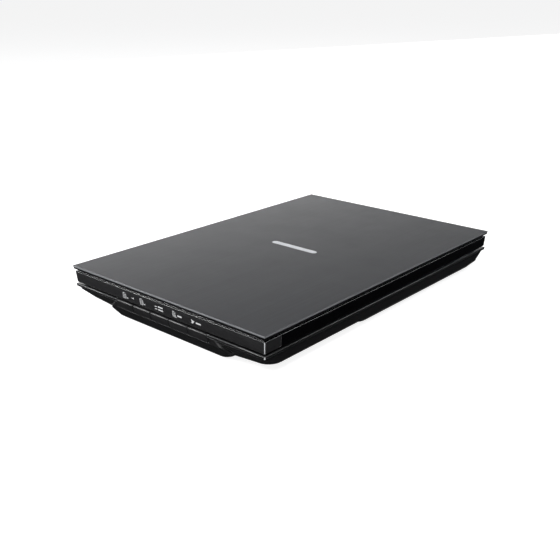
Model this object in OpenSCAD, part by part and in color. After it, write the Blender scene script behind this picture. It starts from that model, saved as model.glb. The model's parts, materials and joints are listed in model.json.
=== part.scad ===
// A4 flatbed scanner with a contact image sensor that rides on a carriage under the glass.
// The lid hangs on two sliding posts, so it tilts open and also lifts for thick originals.
// X runs left to right, Y from the button side to the hinge side, Z up from the table.

/* [Overall] */
// Width across the lid panel
scanner_w = 250; // [248:1:254]
// Depth across the lid panel, from the buttons to the hinges
scanner_d = 367; // [365:1:371]

/* [Lid] */
// Thickness of the top panel, with its carrier plate
panel_t = 3.5; // [3:0.1:4]
// Thickness of the brushed sheet bonded on top of the carrier plate
skin_t = 1.6; // [1.2:0.1:2]
// Height of the dark groove under the top panel
groove_h = 2.3; // [1.8:0.1:2.6]
// Height of the lid's skirt
skirt_h = 11.6; // [11:0.1:11.8]
// Length along each side that the label strip wraps round to
strip_return = 21.3; // [16:0.5:30]

/* [Base] */
// Height of the rubber feet below the case
foot_h = 2; // [1.8:0.1:2.2]
// Radius of a rubber foot
foot_r = 6; // [5:0.5:7]
// Wall thickness of the lower case
wall = 2; // [1.8:0.1:2.2]
// Thickness of the platen glass
glass_t = 2.8; // [2.6:0.1:2.8]
// Scanned width, which is the glass window across X
window_w = 218; // [216:1:218]
// Scanned length, which is the glass window along Y
window_l = 298; // [296:1:298]

/* [Buttons] */
// Number of function buttons
button_count = 5; // [4:1:5]
// Distance from one button to the next
button_pitch = 24.2; // [23:0.1:24.4]
// Gap between neighbouring buttons
button_gap = 0.6; // [0.5:0.1:1]
// How far a button travels inwards
button_travel = 0.7; // [0.5:0.1:0.7]

/* [Hinges] */
// Distance of each hinge from the centre line
hinge_x = 85; // [80:1:88]
// Radius of the hinge pin
pin_r = 1.5; // [1.3:0.1:1.6]
// Running clearance between a pin and its bore
run_gap = 0.05; // [0.03:0.01:0.08]

/* [Drive] */
// Radius of the carriage's guide rod
rod_r = 2; // [1.8:0.1:2.1]
// Module of the rack and its pinion
rack_module = 0.8; // [0.8:0.1:0.8]
// Teeth on the rack pinion
rack_pinion_teeth = 16; // [16:1:16]
// Module of the motor gear pair
motor_module = 0.5; // [0.5:0.1:0.5]
// Teeth on the large wheel
wheel_teeth = 35; // [35:1:35]
// Teeth on the motor pinion
motor_teeth = 14; // [14:1:14]

/* [Hidden] */
$fn = 48;

half_w = scanner_w / 2;
half_d = scanner_d / 2;
eps = 0.01;              // overlap that makes a cut run clean through
long_cut = 60;           // any cut that only has to be longer than the part

// Heights of the base, from the table up
belly_z = foot_h;        // underside of the deep middle of the case
floor_z = belly_z + wall;
wing_z = 6.9;            // underside of the shallow front corners, next to the middle
tray_z = 8.9;            // underside of the shallow front corners, at the outside
tray_floor_z = tray_z + 1.9;
split_z = 19.8;          // where the lower case meets the upper frame
glass_top_z = 22.9;
glass_z = glass_top_z - glass_t;
frame_top_z = 23.6;

// Heights of the lid
lid_z = 24.6;            // lower edge of the skirt
shell_floor_z = 26.2;    // underside of the lid's inner floor
shell_floor_t = 2;
skirt_top_z = lid_z + skirt_h;
panel_z = skirt_top_z + groove_h;
top_z = panel_z + panel_t;
skin_z = top_z - skin_t;

// Hinge axis
axis_y = half_d - 5.5;
axis_z = 29.5;
barrel_r = 3.4;
post_w = 16;             // width of a hinge post across X
post_t = 5.6;            // thickness of a hinge post along Y
post_z = floor_z + 1;
flange_h = 2.5;          // height of the foot that keeps a post in its tower
slip = 0.3;              // clearance round a sliding part
ear_t = 4.2;             // thickness of a bracket ear

// Glass window and platen
window_y0 = -152;
window_y1 = window_y0 + window_l;
pocket_x = 111.5;        // half width of the recess that holds the glass
pocket_y0 = -172;
pocket_y1 = 158;

// Carriage, at its home place under the front of the frame
home_y = -161;           // scan line at home
scan_travel = 307.5;
channel_x = 112;         // half length of the sensor channel
channel_y = 9;           // half width of the sensor channel
channel_z = 11.4;
channel_top_z = 19.4;
block_y1 = home_y + 24;  // back edge of the drive block
rod_z = 8.9;
bush_r = 3;
boss_x = 4.5;            // half width of the guide boss

// Drive train: a pinion on the carriage rolls along a fixed rack
rack_pitch_r = rack_module * rack_pinion_teeth / 2;
wheel_pitch_r = motor_module * wheel_teeth / 2;
motor_pitch_r = motor_module * motor_teeth / 2;
gear_x = -16;
gear_y = home_y + 10;
motor_y = home_y + 16.4;
motor_x = gear_x - sqrt(pow(wheel_pitch_r + motor_pitch_r, 2) - pow(motor_y - gear_y, 2));
motor_angle = atan2(motor_y - gear_y, motor_x - gear_x);
rack_line_x = gear_x - rack_pitch_r;
rack_z0 = floor_z;
rack_z1 = 8.4;
pinion_z0 = 5.8;
wheel_z0 = 8.8;
wheel_z1 = 11;
motor_r = 7.2;
backlash = 0.07;         // taken off each side of every tooth
pressure = 20;           // pressure angle in degrees

// Buttons and their switches
button_front = 1;        // how far the row stands back from the lid panel
button_z0 = 15.2;
button_z1 = 23.4;
button_back = 6.5;
row_shift = -1.4;        // the row sits a little left of the middle
notch_half = button_count * button_pitch / 2 + 0.3;
notch_x0 = row_shift - notch_half;
notch_x1 = row_shift + notch_half;
switch_z = 16.4;
switch_y = -176;
board_front_y = -172.6;
bay_x = 64;              // half width of the bay behind the buttons

// Electronics at the back
pcb_t = 1.4;
board_x0 = 24;
board_x1 = 60;
board_y0 = 157.5;
board_y1 = 175.6;
board_z = 11.4;
usb_x = 46;
usb_w = 8.94;
usb_h = 3.26;
usb_z = board_z + pcb_t + usb_h / 2;
case_screw_x = [-108, -62, 66, 108];
case_screw_y = 163;
foot_points = [[-58, -156], [58, -156], [-98, 150], [98, 150]];

// Ribbon cable of the buttons
button_cable_x = 52;

// Ribbon cable from the main board to the moving sensor
flex_x = 38;
flex_w = 12;
flex_t = 0.2;
flex_r = 3.4;

colour_case = "#1b1b1c";
colour_gloss = "#0c0c0d";
colour_steel = "#b9bcc0";
colour_white = "#f2f2ef";
colour_board = "#1f5a35";

// ---------- shared shapes ----------

function front_y(inset) = -half_d + inset;
function back_y(inset) = half_d - inset;

// One ring of a loft: height, half width, front, back and corner radius
function ring(z, side, front, back, r) = [z, half_w - side, front_y(front), back_y(back), r];

function arc_points(cx, cy, r, from, steps) =
  [for (i = [0:steps]) [cx + r * cos(from + 90 * i / steps), cy + r * sin(from + 90 * i / steps)]];

// Rounded rectangle as one anticlockwise list of points
function round_rect(x0, x1, y0, y1, r, steps = 6) = concat(
  arc_points(x0 + r, y0 + r, r, 180, steps),
  arc_points(x1 - r, y0 + r, r, 270, steps),
  arc_points(x1 - r, y1 - r, r, 0, steps),
  arc_points(x0 + r, y1 - r, r, 90, steps));

// Solid through a stack of rings, each [z, half width, front y, back y, corner radius]
module loft(rings, steps = 6) {
  n = 4 * (steps + 1);
  points = [for (k = rings) for (p = round_rect(-k[1], k[1], k[2], k[3], k[4], steps)) [p[0], p[1], k[0]]];
  last = (len(rings) - 1) * n;
  sides = [for (k = [0:len(rings) - 2]) for (i = [0:n - 1]) for (half = [0:1])
    let (a = k * n + i, b = k * n + (i + 1) % n)
    half == 0 ? [a, a + n, b + n] : [a, b + n, b]];
  bottom = [[for (i = [0:n - 1]) i]];
  top = [[for (i = [n - 1:-1:0]) last + i]];
  polyhedron(points = points, faces = concat(bottom, sides, top), convexity = 4);
}

module box(x0, x1, y0, y1, z0, z1) {
  translate([x0, y0, z0]) cube([x1 - x0, y1 - y0, z1 - z0]);
}

module plate(x0, x1, y0, y1, z0, z1, r) {
  translate([0, 0, z0]) linear_extrude(z1 - z0) polygon(round_rect(x0, x1, y0, y1, r));
}

// Cylinder along Z between two heights
module post(x, y, z0, z1, r) {
  translate([x, y, z0]) cylinder(h = z1 - z0, r = r);
}

// Cylinder along X between two places, at a height and depth
module bar_x(x0, x1, y, z, r) {
  translate([x0, y, z]) rotate([0, 90, 0]) cylinder(h = x1 - x0, r = r);
}

// Cylinder along Y between two places
module bar_y(x, y0, y1, z, r) {
  translate([x, y0, z]) rotate([-90, 0, 0]) cylinder(h = y1 - y0, r = r);
}

// Profile drawn in Y and Z, extruded along X
module profile_x(x0, x1, points) {
  translate([x0, 0, 0]) rotate([90, 0, 90]) linear_extrude(x1 - x0) polygon(points);
}

// Places a shape at the left hinge and its mirror image at the right one
module at_hinge(side) {
  if (side < 0) mirror([1, 0, 0]) children();
  else children();
}

// ---------- gears ----------

function involute(base, t) = [base * (cos(t) + t * PI / 180 * sin(t)), base * (sin(t) - t * PI / 180 * cos(t))];
function turned(p, a) = [p[0] * cos(a) - p[1] * sin(a), p[0] * sin(a) + p[1] * cos(a)];
function roll_at(base, r) = r <= base ? 0 : sqrt(pow(r / base, 2) - 1) * 180 / PI;

// Outline of a spur gear with a tooth centred on the +X axis
function gear_points(m, teeth, addendum, dedendum, steps = 5) =
  let (
    pitch = m * teeth / 2,
    base = pitch * cos(pressure),
    tip = pitch + addendum,
    root = pitch - dedendum,
    at_pitch = roll_at(base, pitch) - pressure,
    half_angle = 90 / teeth - backlash / pitch * 180 / PI,
    start = max(root, base),
    flank = [for (i = [0:steps]) involute(base, roll_at(base, start + (tip - start) * i / steps))],
    right = concat([[root, 0]], flank)
  )
  [for (k = [0:teeth - 1]) for (p = concat(
      [for (q = right) turned(q, 360 / teeth * k - half_angle - at_pitch)],
      [for (i = [len(right) - 1:-1:0]) turned([right[i][0], -right[i][1]],
                                              360 / teeth * k + half_angle + at_pitch)]))
    p];

module gear(m, teeth, addendum, dedendum, z0, z1, angle) {
  translate([0, 0, z0]) rotate([0, 0, angle]) linear_extrude(z1 - z0)
    polygon(gear_points(m, teeth, addendum, dedendum));
}

// ---------- lid ----------

// Brushed sheet with eased edges
module lid_top_panel() {
  edge = 0.3;
  burr = 0.15;
  color("#5a5b5d") difference() {
    loft([ring(skin_z, burr, burr, burr, 0.4), ring(skin_z + burr, 0, 0, 0, 0.5),
          ring(top_z - edge, 0, 0, 0, 0.5), ring(top_z, edge, edge, edge, 0.3)]);
    badge_blank(top_z - badge_t, top_z + 1);
  }
}

// Black plate that the sheet is bonded to, set back a little all round
module lid_carrier_plate() {
  lip = 0.4;
  edge = 0.4;
  color("#19191a") loft([ring(panel_z, lip + edge, lip + edge, lip + edge, 0.3),
                         ring(panel_z + edge, lip, lip, lip, 0.5), ring(skin_z, lip, lip, lip, 0.5)]);
}

badge_w = 58;
badge_h = 7;
badge_t = 0.4;

module badge_blank(z0, z1) {
  plate(-badge_w / 2, badge_w / 2, -badge_h / 2, badge_h / 2, z0, z1, badge_h / 2 - 0.1);
}

// Plain pill-shaped name plate, let in flush
module lid_badge() {
  color("#e4e5e6") badge_blank(top_z - badge_t, top_z);
}

// Outer face of the skirt, leaning in towards its lower edge; "extra" moves it inwards
module skirt(extra, z0 = lid_z, z1 = skirt_top_z) {
  foot_inset = 2.6;
  low_inset = 2.1;
  top_inset = 1.3;
  at = function(z) low_inset + (top_inset - low_inset) * (z - lid_z - 0.8) / (skirt_h - 0.8);
  loft([ring(z0, foot_inset + extra, foot_inset + extra, foot_inset + extra, 0.8),
        ring(z0 + 0.8, low_inset + extra, low_inset + extra, low_inset + extra, 0.8),
        ring(z1, at(z1) + extra, at(z1) + extra, at(z1) + extra, 0.8)]);
}

strip_t = 1.3;
strip_back_y = front_y(strip_return);

module label_strip() {
  color("#29292a") difference() {
    skirt(0, lid_z + 0.3, skirt_top_z - 0.2);
    skirt(strip_t, lid_z - 1, skirt_top_z + 1);
    box(-half_w, half_w, strip_back_y, half_d, 0, top_z);
  }
}

module lid_hinge_room(c) {
  // The rear wall and floor stay clear of the post, which swings up to 15 degrees past level
  box(c - post_w / 2 - ear_t - 0.9, c + post_w / 2 + ear_t + 0.9, axis_y - 4.6, half_d, lid_z - 1,
      axis_z + 4.8);
}

module lid_ribs() {
  rib = 1.2;
  rib_z1 = panel_z - 0.6;
  for (x = [-80, -40, 0, 40, 80])
    box(x - rib / 2, x + rib / 2, front_y(5), axis_y - 24, shell_floor_z + eps, rib_z1);
  for (y = [-140, -95, -50, -5, 40, 85, 130])
    box(-half_w + 5, half_w - 5, y - rib / 2, y + rib / 2, shell_floor_z + eps, rib_z1);
  for (side = [-1, 1]) for (dx = [-14, 14])
    post(side * hinge_x + dx, axis_y - 15, shell_floor_z + eps, bracket_z, 3.4);
}

bracket_z = 34.4;
bracket_t = 2;

module lid_shell() {
  neck = 3.2;
  color(colour_gloss) difference() {
    union() {
      skirt(0);
      loft([ring(skirt_top_z - 1, neck, neck, neck, 2), ring(panel_z, neck, neck, neck, 2)]);
    }
    // open top, with ribs and bosses left standing
    difference() {
      loft([ring(shell_floor_z + shell_floor_t, 5.4, 5.4, 5.4, 2), ring(top_z, 5.4, 5.4, 5.4, 2)]);
      lid_ribs();
    }
    // hollow under the floor
    loft([ring(lid_z - 1, 4.6, 4.6, 4.6, 2), ring(shell_floor_z, 4.6, 4.6, 4.6, 2)]);
    // seat of the label strip
    difference() {
      box(-half_w, half_w, front_y(0), strip_back_y + 0.2, lid_z - 1, skirt_top_z);
      skirt(strip_t, lid_z - 1, skirt_top_z + 1);
      box(-half_w, half_w, front_y(0), strip_back_y + 0.2, skirt_top_z - 0.15, top_z);
    }
    // raised lower edge at the back, so that it clears the frame as the lid tilts
    box(-half_w, half_w, axis_y - 8, half_d, lid_z - 1, lid_z + 0.8);
    for (side = [-1, 1]) lid_hinge_room(side * hinge_x);
    for (side = [-1, 1]) for (dx = [-14, 14])
      post(side * hinge_x + dx, axis_y - 15, shell_floor_z + 1, bracket_z + 1, screw_r);
  }
}

screw_r = 1.3;
pad_gap = 1.5;           // room between the document mat and the edge of the window
sheet_z = 23;
sheet_t = 0.6;

module mat(z0, z1, r) {
  plate(-window_w / 2 + pad_gap, window_w / 2 - pad_gap, window_y0 + pad_gap, window_y1 - pad_gap, z0, z1, r);
}

module document_foam() {
  color("#d9d9d4") mat(sheet_z + sheet_t, shell_floor_z, 3);
}

module document_sheet() {
  color(colour_white) mat(sheet_z, sheet_z + sheet_t, 3);
}

module lid_bumpers() {
  color("#3a3a3b") for (x = [-116.5, 116.5]) for (y = [-174, 164])
    post(x, y, frame_top_z + 0.05, shell_floor_z, 2.8);
}

module bracket_body(c) {
  ear_r = 3.3;
  back = back_y(5.7);
  difference() {
    union() {
      box(c - 19, c + 19, axis_y - 20, back, bracket_z, bracket_z + bracket_t);
      for (x = [c - post_w / 2 - slip - ear_t, c + post_w / 2 + slip]) {
        bar_x(x, x + ear_t, axis_y, axis_z, ear_r);
        box(x, x + ear_t, axis_y - 3, axis_y - 0.5, axis_z, bracket_z + eps);
      }
    }
    bar_x(c - 30, c + 30, axis_y, axis_z, pin_r);
    for (dx = [-14, 14]) post(c + dx, axis_y - 15, bracket_z - 1, bracket_z + bracket_t + 1, screw_r + 0.3);
  }
}

module hinge_bracket_left() { color(colour_steel) at_hinge(-1) bracket_body(hinge_x); }
module hinge_bracket_right() { color(colour_steel) at_hinge(1) bracket_body(hinge_x); }

module pin_body(c) {
  half = post_w / 2 + slip + ear_t;
  bar_x(c - half, c + half, axis_y, axis_z, pin_r);
}

module hinge_pin_left() { color(colour_steel) at_hinge(-1) pin_body(hinge_x); }
module hinge_pin_right() { color(colour_steel) at_hinge(1) pin_body(hinge_x); }

// Pan head screw that points down, its head resting at height z
module pan_screw(x, y, z, length, r, head_r, head_h) {
  difference() {
    union() {
      post(x, y, z - length, z + eps, r);
      post(x, y, z, z + head_h, head_r);
    }
    for (a = [0, 90]) translate([x, y, z + head_h]) rotate([0, 0, a])
      cube([head_r * 1.2, head_r * 0.28, head_h], center = true);
  }
}

module bracket_screws() {
  color(colour_steel) for (side = [-1, 1]) for (dx = [-14, 14])
    pan_screw(side * hinge_x + dx, axis_y - 15, bracket_z + bracket_t, 6.5, screw_r, 2.4, 1.4);
}

// ---------- hinge posts ----------

module post_body(c) {
  difference() {
    union() {
      box(c - post_w / 2, c + post_w / 2, axis_y - post_t / 2, axis_y + post_t / 2, post_z, axis_z);
      bar_x(c - post_w / 2, c + post_w / 2, axis_y, axis_z, barrel_r);
      box(c - post_w / 2 - 3, c + post_w / 2 + 3, axis_y - post_t / 2, axis_y + post_t / 2, post_z,
          post_z + flange_h);
    }
    bar_x(c - post_w, c + post_w, axis_y, axis_z, pin_r + run_gap);
  }
}

module hinge_post_left() { color(colour_case) at_hinge(-1) post_body(hinge_x); }
module hinge_post_right() { color(colour_case) at_hinge(1) post_body(hinge_x); }

// ---------- base: upper frame and glass ----------

module upper_frame() {
  lip = 1.4;
  rim = 1;
  slot_x = post_w / 2 + slip;
  slot_y = post_t / 2 + slip;
  color(colour_case) difference() {
    union() {
      loft([ring(split_z, 3.4, 3.4, 3.4, 2), ring(split_z + 1.2, lip, lip, lip, 1.2),
            ring(frame_top_z - 0.4, rim, rim, rim, 1.2), ring(frame_top_z, lip, lip, lip, 1.2)]);
      for (x = case_screw_x) post(x, case_screw_y, split_z - 4, split_z + 1, 3.2);
      for (side = [-1, 1]) for (y = [-100, 0, 100]) frame_snap(side, y);
    }
    plate(-pocket_x, pocket_x, pocket_y0, pocket_y1, split_z - 1, glass_top_z, 3);
    plate(-window_w / 2, window_w / 2, window_y0, window_y1, split_z, frame_top_z + 1, 1.5);
    box(-strip_half_x - 0.2, strip_half_x + 0.2, calibration_y - 0.2, calibration_y + 10.2,
        glass_z, glass_top_z + 0.2);
    box(notch_x0, notch_x1, -half_d - 1, front_y(8), split_z - 1, frame_top_z + 1);
    for (side = [-1, 1])
      box(side * hinge_x - slot_x, side * hinge_x + slot_x, axis_y - slot_y, axis_y + slot_y,
          split_z - 1, frame_top_z + 1);
    for (x = case_screw_x) post(x, case_screw_y, split_z - 5, split_z + 2.6, screw_r);
  }
}

// Springy tab that clips the frame inside the side wall of the case
module frame_snap(side, y) {
  outer = half_w - 6.5;
  x0 = side > 0 ? outer - 1.2 : -outer;
  box(x0, x0 + 1.2, y - 6, y + 6, split_z - 4, split_z + 1);
}

module platen_glass() {
  fit = 0.3;
  color("#cfe0dd", 0.35)
    plate(-pocket_x + fit, pocket_x - fit, pocket_y0 + fit, pocket_y1 - fit, glass_z, glass_top_z, 2.7);
}

strip_half_x = 108;
calibration_y = -166;

module calibration_strip() {
  color(colour_white)
    box(-strip_half_x, strip_half_x, calibration_y, calibration_y + 10, glass_top_z, glass_top_z + 0.2);
}

// ---------- base: lower case ----------

// Outer skin. Shallow front corners, a deep middle, and a bay that carries the buttons
module case_outside() {
  // shallow tray under the whole outline
  loft([ring(tray_z, 6.2, 13, 6.4, 12), ring(tray_z + 0.6, 5, 11.6, 5.2, 13),
        ring(split_z - 1.8, 3.4, 3.7, 3.4, 4), ring(split_z, 3.4, 3.4, 3.4, 2)]);
  // its underside slopes down towards the middle
  loft([[wing_z, 78, front_y(12), 0, 4], [tray_z + 0.8, half_w - 8, front_y(11.6), 0, 8]]);
  // deep part at the back
  loft([[belly_z, half_w - 12.6, -41, back_y(11.8), 9], [belly_z + 0.5, half_w - 12, -42.5, back_y(11.3), 9.5],
        [tray_z + 1.1, half_w - 4.9, -59, back_y(5.1), 10]]);
  // deep part at the front, which bulges under the buttons
  loft([[belly_z, 72.5, front_y(11.4), 0, 8], [belly_z + 0.6, 74, front_y(10.4), 0, 8],
        [9, 80.5, front_y(6.9), 0, 6], [14.4, 74, front_y(3.3), 0, 4], [split_z, 66, front_y(2.9), 0, 2]]);
  for (side = [-1, 1]) hinge_tower(side * hinge_x);
}

tower_x = post_w / 2 + 5;

module hinge_tower(c) {
  back = back_y(1.2);
  profile_x(c - tower_x, c + tower_x, [
    [axis_y - 6, belly_z + 1], [back - 1.5, belly_z + 1], [back, belly_z + 2.5], [back, split_z],
      [axis_y - 6, split_z]]);
}

// The hollow inside, before the posts, ribs and supports are left standing in it
module case_hollow() {
  loft([ring(tray_floor_z, 7.6, 13.8, 7.6, 8), ring(split_z - 1.8, 5.4, 5.8, 5.4, 3),
        ring(split_z + 1, 5.4, 5.4, 5.4, 2)]);
  loft([[floor_z, half_w - 14.2, -38.5, back_y(12.9), 7], [tray_floor_z + 0.3, half_w - 7.4, -55,
      back_y(7.5), 8]]);
  loft([[floor_z, 71, front_y(12.4), 0, 6], [9, 78, front_y(9.3), 0, 5],
        [14.4, 71.6, front_y(5.6), 0, 3], [split_z + 1, 64, front_y(4.9), 0, 2]]);
}

module case_supports() {
  // screw posts
  for (x = case_screw_x) post(x, case_screw_y, belly_z, split_z - 4, 3.8);
  // sockets of the guide rod
  box(-5, 5, front_y(4), home_y - channel_y - 0.6, belly_z, rod_z + 3.3);
  box(-5, 5, home_y + scan_travel + 24.4, back_y(5), belly_z, rod_z + 3.3);
  // shelves that the button board stands on, and the wall that closes the bay behind it
  for (x = [-44, 0, 44]) box(x - 4, x + 4, front_y(5), board_front_y + 1.2, belly_z, switch_z - 3.6);
  difference() {
    box(-bay_x, bay_x, board_front_y + 1.2, board_front_y + 2.2, belly_z, glass_z - 0.4);
    box(button_cable_x - 0.3, button_cable_x + 5.3, -half_d, 0, 0, switch_z - 1.9);
  }
  for (side = [-1, 1]) box(side * bay_x - 0.6, side * bay_x + 0.6, front_y(8), board_front_y + 2.2,
                           belly_z, glass_z - 0.4);
  // posts under the main board
  for (x = [board_x0 + 4, board_x1 - 4]) for (y = [board_y0 + 4, board_y1 - 6])
    post(x, y, belly_z, board_z, 2.4);
  // low ribs that stiffen the floor, clear of the drive block
  for (x = [-100, -75, 75, 100]) box(x - 0.7, x + 0.7, -30, 150, belly_z, 8.5);
  for (y = [-20, 20, 60, 100, 140]) for (side = [-1, 1])
    box(side > 0 ? 64 : -110, side > 0 ? 110 : -64, y - 0.7, y + 0.7, belly_z, 7.5);
  // rails beside the rack
  box(rack_line_x - 6.6, rack_line_x - 5, rack_y0, rack_y1, belly_z, floor_z + 1.4);
  for (side = [-1, 1]) hinge_tower(side * hinge_x);
}

module case_cuts() {
  // hinge towers
  for (side = [-1, 1])
    box(side * hinge_x - post_w / 2 - 3 - slip, side * hinge_x + post_w / 2 + 3 + slip,
        axis_y - post_t / 2 - slip, axis_y + post_t / 2 + slip, post_z - 0.1, split_z + 1);
  // screw wells and clearance holes
  for (x = case_screw_x) {
    post(x, case_screw_y, 0, belly_z + 5, 3);
    post(x, case_screw_y, 0, split_z, screw_r + 0.3);
  }
  // seats of the feet
  for (p = foot_points) post(p[0], p[1], 0, belly_z + 1, foot_r);
  // window for the row of buttons
  box(notch_x0, notch_x1, -half_d, front_y(8), button_z0 - 0.4, split_z + 1);
  // guide rod
  bar_y(0, rod_y0, rod_y1, rod_z, rod_r);
  // screw holes of the main board
  for (x = [board_x0 + 4, board_x1 - 4]) post(x, board_y0 + 4, board_z - 4, board_z + 1, 0.9);
  // port, with a shallow dish round it
  box(usb_x - usb_w / 2 - 0.25, usb_x + usb_w / 2 + 0.25, board_y1 - 2, half_d,
      usb_z - usb_h / 2 - 0.25, usb_z + usb_h / 2 + 0.25);
  box(usb_x - usb_w / 2 - 2.2, usb_x + usb_w / 2 + 2.2, back_y(4.9), half_d,
      usb_z - usb_h / 2 - 1.8, usb_z + usb_h / 2 + 1.8);
  // recess of the rating plate
  plate(-40, 40, 20, 70, 0, belly_z + 0.3, 2);
}

rod_y0 = -174;
rod_y1 = 173;

module lower_case() {
  color(colour_case) difference() {
    case_outside();
    difference() {
      case_hollow();
      case_supports();
    }
    case_cuts();
  }
}

module rubber_feet() {
  color("#2c2c2d") for (p = foot_points) {
    post(p[0], p[1], 0.8, belly_z + 1, foot_r);
    translate([p[0], p[1], 0]) cylinder(h = 0.8, r1 = foot_r - 0.8, r2 = foot_r);
  }
}

module case_screws() {
  color(colour_steel) for (x = case_screw_x) translate([x, case_screw_y, belly_z + 5]) rotate([180, 0, 0])
    pan_screw(0, 0, 0, 12, screw_r, 2.7, 1.8);
}

module rating_plate() {
  color("#8f9194") plate(-39.8, 39.8, 20.2, 69.8, belly_z + 0.1, belly_z + 0.3, 2);
}

module guide_rod() {
  color(colour_steel) bar_y(0, rod_y0, rod_y1, rod_z, rod_r);
}

rack_y0 = -163;
rack_y1 = 168;

// Fixed rack with its teeth towards +X and a tooth space level with the pinion at home
module drive_rack() {
  pitch = PI * rack_module;
  addendum = 0.9 * rack_module;
  dedendum = 1.15 * rack_module;
  half_pitch_line = pitch / 4 - backlash;
  half_tip = half_pitch_line - addendum * tan(pressure);
  half_root = half_pitch_line + dedendum * tan(pressure);
  first = ceil((rack_y0 + 1 - gear_y) / pitch);
  last = floor((rack_y1 - 1 - gear_y) / pitch) - 1;
  teeth = [for (k = [first:last]) let (y = gear_y + (k + 0.5) * pitch) for (p = [
    [rack_line_x - dedendum, y - half_root], [rack_line_x + addendum, y - half_tip],
    [rack_line_x + addendum, y + half_tip], [rack_line_x - dedendum, y + half_root]]) p];
  color("#e6e6e2") translate([0, 0, rack_z0]) linear_extrude(rack_z1 - rack_z0)
    polygon(concat([[rack_line_x - 4.8, rack_y1], [rack_line_x - 4.8, rack_y0],
                    [rack_line_x - dedendum, rack_y0]],
      teeth, [[rack_line_x - dedendum, rack_y1]]));
}

// ---------- electronics ----------

module main_board() {
  color(colour_board) difference() {
    box(board_x0, board_x1, board_y0, board_y1, board_z, board_z + pcb_t);
    for (x = [board_x0 + 4, board_x1 - 4]) post(x, board_y0 + 4, board_z - 1, board_z + 3, 1);
  }
}

module board_chips() {
  z = board_z + pcb_t;
  color("#141415") {
    box(board_x0 + 7, board_x0 + 14, board_y0 + 9, board_y0 + 16, z, z + 1);
    box(board_x0 + 17, board_x0 + 21, board_y0 + 3, board_y0 + 8, z, z + 1.2);
    post(board_x1 - 3.4, board_y1 - 4, z, z + 3.6, 2);
    post(board_x0 + 3.4, board_y1 - 3, z, z + 3.2, 1.8);
    box(flex_x - 1, flex_x + flex_w + 1, board_y0 + 0.4, board_y0 + 2.4, board_z - 2, board_z);
  }
}

// USB-C receptacle: a flattened metal shell with its tongue
module usb_socket() {
  y0 = 170.6;
  y1 = back_y(5);
  color(colour_steel) {
    difference() {
      usb_pill(y0, y1, usb_h / 2);
      usb_pill(y0 + 1, y1 + 1, usb_h / 2 - 0.35);
    }
    box(usb_x - 3.3, usb_x + 3.3, y0 + 0.5, y1 - 0.8, usb_z - 0.35, usb_z + 0.35);
  }
}

module usb_pill(y0, y1, r) {
  edge = usb_w / 2 - usb_h / 2;
  for (x = [usb_x - edge, usb_x + edge]) bar_y(x, y0, y1, usb_z, r);
  box(usb_x - edge, usb_x + edge, y0, y1, usb_z - r, usb_z + r);
}

module board_screws() {
  color(colour_steel) for (x = [board_x0 + 4, board_x1 - 4])
    pan_screw(x, board_y0 + 4, board_z + pcb_t, 4.5, 0.9, 1.9, 1);
}

// Ribbon that lies along the floor, turns over and comes back to the carriage
module flex_cable() {
  steps = 12;
  low = floor_z + 0.1;
  turn_y = home_y - 4;
  top = low + 2 * flex_r + flex_t;
  outer = [for (i = [0:steps]) let (a = 90 + 180 * i / steps)
    [turn_y + (flex_r + flex_t) * cos(a), low + flex_t + flex_r + (flex_r + flex_t) * sin(a)]];
  inner = [for (i = [steps:-1:0]) let (a = 90 + 180 * i / steps)
    [turn_y + flex_r * cos(a), low + flex_t + flex_r + flex_r * sin(a)]];
  rise_y = board_y0 - 6;
  board_end = [board_y0 + 0.3, board_z - 1.2];
  color("#d8d4c6") profile_x(flex_x, flex_x + flex_w, concat(
    [[home_y + 6, top], [home_y + 6, top + flex_t]], outer,
    [[rise_y, low], [board_end[0], board_end[1] - flex_t], [board_end[0], board_end[1]],
     [rise_y - 0.2, low + flex_t]],
    inner));
}

module button_cable() {
  x0 = button_cable_x;
  w = 5;
  t = 0.5;
  color("#9a9a9c") {
    box(x0, x0 + w, board_front_y + 1.6, board_y0 - 1.2, floor_z + 0.05, floor_z + 0.05 + t);
    box(x0, x0 + w, board_front_y + 1.6, board_front_y + 2.1, floor_z + 0.05, switch_z - 2);
    box(x0, x0 + w, board_front_y + 1.25, board_front_y + 2.1, switch_z - 3, switch_z - 2);
    box(x0, x0 + w, board_y0 - 1.2, board_y0 - 0.7, floor_z + 0.05, board_z + 0.7);
    box(x0, x0 + w, board_y0 - 1.2, board_y0 - 0.05, board_z + 0.2, board_z + 0.7);
  }
}

module button_board() {
  color(colour_board) box(-62, 61, board_front_y, board_front_y + 1.2, switch_z - 3.6, split_z - 0.2);
}

function button_x(k) = row_shift + (k - (button_count + 1) / 2) * button_pitch;

module switch_housings() {
  color("#2b2b2c") for (k = [1:button_count]) difference() {
    box(button_x(k) - 3, button_x(k) + 3, switch_y, board_front_y, switch_z - 3, switch_z + 3);
    bar_y(button_x(k), switch_y - 1, switch_y + 2.4, switch_z, 1.6);
  }
}

// ---------- buttons ----------

module button_cap(k) {
  f = front_y(button_front);
  back = front_y(button_back);
  half = (button_pitch - button_gap) / 2;
  color("#242425") if (k <= button_count) profile_x(button_x(k) - half, button_x(k) + half, [
    [back, button_z1], [f + 0.9, button_z1], [f + 0.3, button_z1 - 0.2], [f, button_z1 - 0.8],
    [f + 0.1, button_z1 - 2.4], [f + 1.35, button_z0 + 0.5], [f + 1.8, button_z0], [back, button_z0]]);
}

module switch_plunger(k) {
  color("#c9b26a") if (k <= button_count)
    bar_y(button_x(k), front_y(button_back), switch_y + 1.5, switch_z, 1.5);
}

// ---------- carriage ----------

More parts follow.
